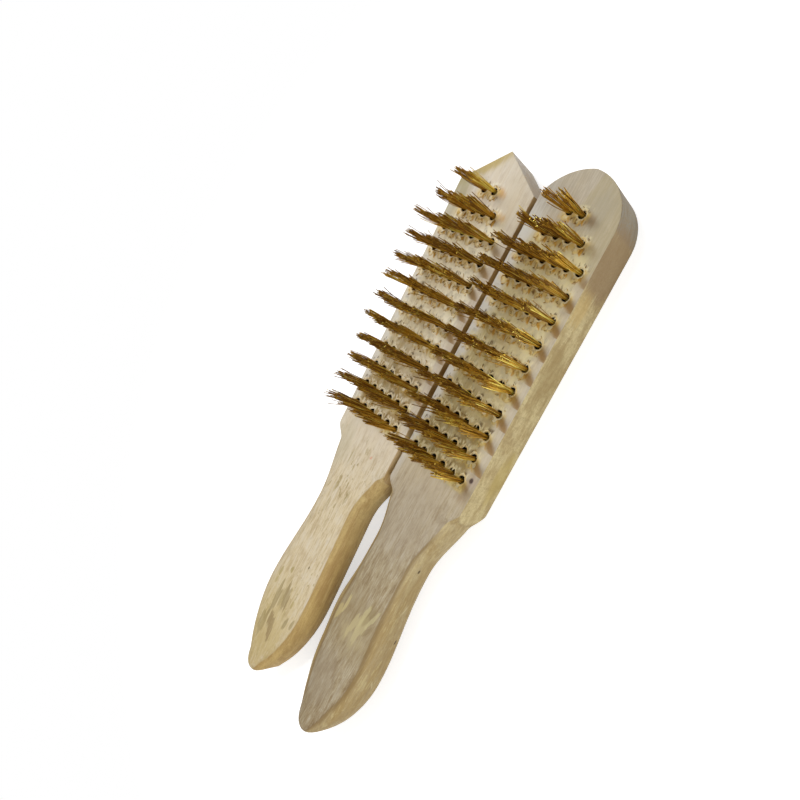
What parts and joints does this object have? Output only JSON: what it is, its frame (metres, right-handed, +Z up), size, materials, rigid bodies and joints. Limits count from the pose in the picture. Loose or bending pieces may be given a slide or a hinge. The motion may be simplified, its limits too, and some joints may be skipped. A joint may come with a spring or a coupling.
{
  "type": "pair of wire hand brushes",
  "caption": "Two wooden-handled brass wire scratch brushes lying side by side on their backs, wires up, one with a rounded head end and one with a pointed head end.",
  "frame": {"origin": "middle of the pair's footprint, on the flat that both boards lie on", "axes": "+Y along the boards towards their head ends, +X from the pointed brush to the round one, +Z up out of the wires"},
  "size_m": [0.0904, 0.2944, 0.0442],
  "materials": {
    "weathered_wood": "raw sawn wood, sanded smooth, grey-beige and a little weathered",
    "pale_wood": "raw sawn wood, sanded smooth, pale cream with grey-brown flecks",
    "brass_wire": "drawn wire, dulled golden brown",
    "brass_root": "drawn wire, folded in its hole",
    "steel_staple": "flat steel wire, cut"
  },
  "bodies": {
    "round_brush": {"round_block": "weathered_wood", "round_staples": "steel_staple", "round_root_row_01": "brass_root", "round_root_row_02": "brass_root", "round_root_row_03": "brass_root", "round_root_row_04": "brass_root", "round_root_row_05": "brass_root", "round_root_row_06": "brass_root", "round_root_row_07": "brass_root", "round_root_row_08": "brass_root", "round_root_row_09": "brass_root", "round_root_row_10": "brass_root", "round_root_row_11": "brass_root", "round_root_row_12": "brass_root"},
    "pointed_brush": {"pointed_block": "pale_wood", "pointed_staples": "steel_staple", "pointed_root_row_01": "brass_root", "pointed_root_row_02": "brass_root", "pointed_root_row_03": "brass_root", "pointed_root_row_04": "brass_root", "pointed_root_row_05": "brass_root", "pointed_root_row_06": "brass_root", "pointed_root_row_07": "brass_root", "pointed_root_row_08": "brass_root", "pointed_root_row_09": "brass_root", "pointed_root_row_10": "brass_root", "pointed_root_row_11": "brass_root", "pointed_root_row_12": "brass_root"},
    "round_row_01": {"round_wire_row_01": "brass_wire"},
    "round_row_02": {"round_wire_row_02": "brass_wire"},
    "round_row_03": {"round_wire_row_03": "brass_wire"},
    "round_row_04": {"round_wire_row_04": "brass_wire"},
    "round_row_05": {"round_wire_row_05": "brass_wire"},
    "round_row_06": {"round_wire_row_06": "brass_wire"},
    "round_row_07": {"round_wire_row_07": "brass_wire"},
    "round_row_08": {"round_wire_row_08": "brass_wire"},
    "round_row_09": {"round_wire_row_09": "brass_wire"},
    "round_row_10": {"round_wire_row_10": "brass_wire"},
    "round_row_11": {"round_wire_row_11": "brass_wire"},
    "round_row_12": {"round_wire_row_12": "brass_wire"},
    "pointed_row_01": {"pointed_wire_row_01": "brass_wire"},
    "pointed_row_02": {"pointed_wire_row_02": "brass_wire"},
    "pointed_row_03": {"pointed_wire_row_03": "brass_wire"},
    "pointed_row_04": {"pointed_wire_row_04": "brass_wire"},
    "pointed_row_05": {"pointed_wire_row_05": "brass_wire"},
    "pointed_row_06": {"pointed_wire_row_06": "brass_wire"},
    "pointed_row_07": {"pointed_wire_row_07": "brass_wire"},
    "pointed_row_08": {"pointed_wire_row_08": "brass_wire"},
    "pointed_row_09": {"pointed_wire_row_09": "brass_wire"},
    "pointed_row_10": {"pointed_wire_row_10": "brass_wire"},
    "pointed_row_11": {"pointed_wire_row_11": "brass_wire"},
    "pointed_row_12": {"pointed_wire_row_12": "brass_wire"}
  },
  "joints": [
    {"name": "pointed_brush_lift", "type": "slide", "parent": "round_brush", "child": "pointed_brush", "axis": [0, 0, 1], "range_m": [0, 0.12]},
    {"name": "round_row_01_bend", "type": "hinge", "parent": "round_brush", "child": "round_row_01", "pos_m": [0.02183, 0.1284, 0.0212], "axis": [1, 0, 0], "range_deg": [-15, 15], "stiffness_Nm_per_rad": 0.1},
    {"name": "round_row_02_bend", "type": "hinge", "parent": "round_brush", "child": "round_row_02", "pos_m": [0.02183, 0.1177, 0.0212], "axis": [1, 0, 0], "range_deg": [-15, 15], "stiffness_Nm_per_rad": 0.2},
    {"name": "round_row_03_bend", "type": "hinge", "parent": "round_brush", "child": "round_row_03", "pos_m": [0.02183, 0.107, 0.0212], "axis": [1, 0, 0], "range_deg": [-15, 15], "stiffness_Nm_per_rad": 0.3},
    {"name": "round_row_04_bend", "type": "hinge", "parent": "round_brush", "child": "round_row_04", "pos_m": [0.02183, 0.0963, 0.0212], "axis": [1, 0, 0], "range_deg": [-15, 15], "stiffness_Nm_per_rad": 0.3},
    {"name": "round_row_05_bend", "type": "hinge", "parent": "round_brush", "child": "round_row_05", "pos_m": [0.02183, 0.0856, 0.0212], "axis": [1, 0, 0], "range_deg": [-15, 15], "stiffness_Nm_per_rad": 0.3},
    {"name": "round_row_06_bend", "type": "hinge", "parent": "round_brush", "child": "round_row_06", "pos_m": [0.02183, 0.0749, 0.0212], "axis": [1, 0, 0], "range_deg": [-15, 15], "stiffness_Nm_per_rad": 0.3},
    {"name": "round_row_07_bend", "type": "hinge", "parent": "round_brush", "child": "round_row_07", "pos_m": [0.02183, 0.0642, 0.0212], "axis": [1, 0, 0], "range_deg": [-15, 15], "stiffness_Nm_per_rad": 0.3},
    {"name": "round_row_08_bend", "type": "hinge", "parent": "round_brush", "child": "round_row_08", "pos_m": [0.02183, 0.0535, 0.0212], "axis": [1, 0, 0], "range_deg": [-15, 15], "stiffness_Nm_per_rad": 0.3},
    {"name": "round_row_09_bend", "type": "hinge", "parent": "round_brush", "child": "round_row_09", "pos_m": [0.02183, 0.0428, 0.0212], "axis": [1, 0, 0], "range_deg": [-15, 15], "stiffness_Nm_per_rad": 0.3},
    {"name": "round_row_10_bend", "type": "hinge", "parent": "round_brush", "child": "round_row_10", "pos_m": [0.02183, 0.0321, 0.0212], "axis": [1, 0, 0], "range_deg": [-15, 15], "stiffness_Nm_per_rad": 0.3},
    {"name": "round_row_11_bend", "type": "hinge", "parent": "round_brush", "child": "round_row_11", "pos_m": [0.02183, 0.0214, 0.0212], "axis": [1, 0, 0], "range_deg": [-15, 15], "stiffness_Nm_per_rad": 0.3},
    {"name": "round_row_12_bend", "type": "hinge", "parent": "round_brush", "child": "round_row_12", "pos_m": [0.02183, 0.0107, 0.0212], "axis": [1, 0, 0], "range_deg": [-15, 15], "stiffness_Nm_per_rad": 0.3},
    {"name": "pointed_row_01_bend", "type": "hinge", "parent": "pointed_brush", "child": "pointed_row_01", "pos_m": [-0.02529, 0.12748, 0.0212], "axis": [0.9998, 0.0201, 0], "range_deg": [-15, 15], "stiffness_Nm_per_rad": 0.1},
    {"name": "pointed_row_02_bend", "type": "hinge", "parent": "pointed_brush", "child": "pointed_row_02", "pos_m": [-0.02508, 0.11679, 0.0212], "axis": [0.9998, 0.0201, 0], "range_deg": [-15, 15], "stiffness_Nm_per_rad": 0.2},
    {"name": "pointed_row_03_bend", "type": "hinge", "parent": "pointed_brush", "child": "pointed_row_03", "pos_m": [-0.02486, 0.10609, 0.0212], "axis": [0.9998, 0.0201, 0], "range_deg": [-15, 15], "stiffness_Nm_per_rad": 0.3},
    {"name": "pointed_row_04_bend", "type": "hinge", "parent": "pointed_brush", "child": "pointed_row_04", "pos_m": [-0.02465, 0.09539, 0.0212], "axis": [0.9998, 0.0201, 0], "range_deg": [-15, 15], "stiffness_Nm_per_rad": 0.3},
    {"name": "pointed_row_05_bend", "type": "hinge", "parent": "pointed_brush", "child": "pointed_row_05", "pos_m": [-0.02443, 0.08469, 0.0212], "axis": [0.9998, 0.0201, 0], "range_deg": [-15, 15], "stiffness_Nm_per_rad": 0.3},
    {"name": "pointed_row_06_bend", "type": "hinge", "parent": "pointed_brush", "child": "pointed_row_06", "pos_m": [-0.02422, 0.074, 0.0212], "axis": [0.9998, 0.0201, 0], "range_deg": [-15, 15], "stiffness_Nm_per_rad": 0.3},
    {"name": "pointed_row_07_bend", "type": "hinge", "parent": "pointed_brush", "child": "pointed_row_07", "pos_m": [-0.024, 0.0633, 0.0212], "axis": [0.9998, 0.0201, 0], "range_deg": [-15, 15], "stiffness_Nm_per_rad": 0.3},
    {"name": "pointed_row_08_bend", "type": "hinge", "parent": "pointed_brush", "child": "pointed_row_08", "pos_m": [-0.02379, 0.0526, 0.0212], "axis": [0.9998, 0.0201, 0], "range_deg": [-15, 15], "stiffness_Nm_per_rad": 0.3},
    {"name": "pointed_row_09_bend", "type": "hinge", "parent": "pointed_brush", "child": "pointed_row_09", "pos_m": [-0.02357, 0.0419, 0.0212], "axis": [0.9998, 0.0201, 0], "range_deg": [-15, 15], "stiffness_Nm_per_rad": 0.3},
    {"name": "pointed_row_10_bend", "type": "hinge", "parent": "pointed_brush", "child": "pointed_row_10", "pos_m": [-0.02336, 0.0312, 0.0212], "axis": [0.9998, 0.0201, 0], "range_deg": [-15, 15], "stiffness_Nm_per_rad": 0.3},
    {"name": "pointed_row_11_bend", "type": "hinge", "parent": "pointed_brush", "child": "pointed_row_11", "pos_m": [-0.02314, 0.02051, 0.0212], "axis": [0.9998, 0.0201, 0], "range_deg": [-15, 15], "stiffness_Nm_per_rad": 0.3},
    {"name": "pointed_row_12_bend", "type": "hinge", "parent": "pointed_brush", "child": "pointed_row_12", "pos_m": [-0.02293, 0.00981, 0.0212], "axis": [0.9998, 0.0201, 0], "range_deg": [-15, 15], "stiffness_Nm_per_rad": 0.3}
  ],
  "couplings": [
    {"joint": "round_row_01_bend", "follows": "round_row_12_bend", "ratio": 1},
    {"joint": "round_row_02_bend", "follows": "round_row_12_bend", "ratio": 1},
    {"joint": "round_row_03_bend", "follows": "round_row_12_bend", "ratio": 1},
    {"joint": "round_row_04_bend", "follows": "round_row_12_bend", "ratio": 1},
    {"joint": "round_row_05_bend", "follows": "round_row_12_bend", "ratio": 1},
    {"joint": "round_row_06_bend", "follows": "round_row_12_bend", "ratio": 1},
    {"joint": "round_row_07_bend", "follows": "round_row_12_bend", "ratio": 1},
    {"joint": "round_row_08_bend", "follows": "round_row_12_bend", "ratio": 1},
    {"joint": "round_row_09_bend", "follows": "round_row_12_bend", "ratio": 1},
    {"joint": "round_row_10_bend", "follows": "round_row_12_bend", "ratio": 1},
    {"joint": "round_row_11_bend", "follows": "round_row_12_bend", "ratio": 1},
    {"joint": "pointed_row_01_bend", "follows": "pointed_row_12_bend", "ratio": 1},
    {"joint": "pointed_row_02_bend", "follows": "pointed_row_12_bend", "ratio": 1},
    {"joint": "pointed_row_03_bend", "follows": "pointed_row_12_bend", "ratio": 1},
    {"joint": "pointed_row_04_bend", "follows": "pointed_row_12_bend", "ratio": 1},
    {"joint": "pointed_row_05_bend", "follows": "pointed_row_12_bend", "ratio": 1},
    {"joint": "pointed_row_06_bend", "follows": "pointed_row_12_bend", "ratio": 1},
    {"joint": "pointed_row_07_bend", "follows": "pointed_row_12_bend", "ratio": 1},
    {"joint": "pointed_row_08_bend", "follows": "pointed_row_12_bend", "ratio": 1},
    {"joint": "pointed_row_09_bend", "follows": "pointed_row_12_bend", "ratio": 1},
    {"joint": "pointed_row_10_bend", "follows": "pointed_row_12_bend", "ratio": 1},
    {"joint": "pointed_row_11_bend", "follows": "pointed_row_12_bend", "ratio": 1}
  ]
}
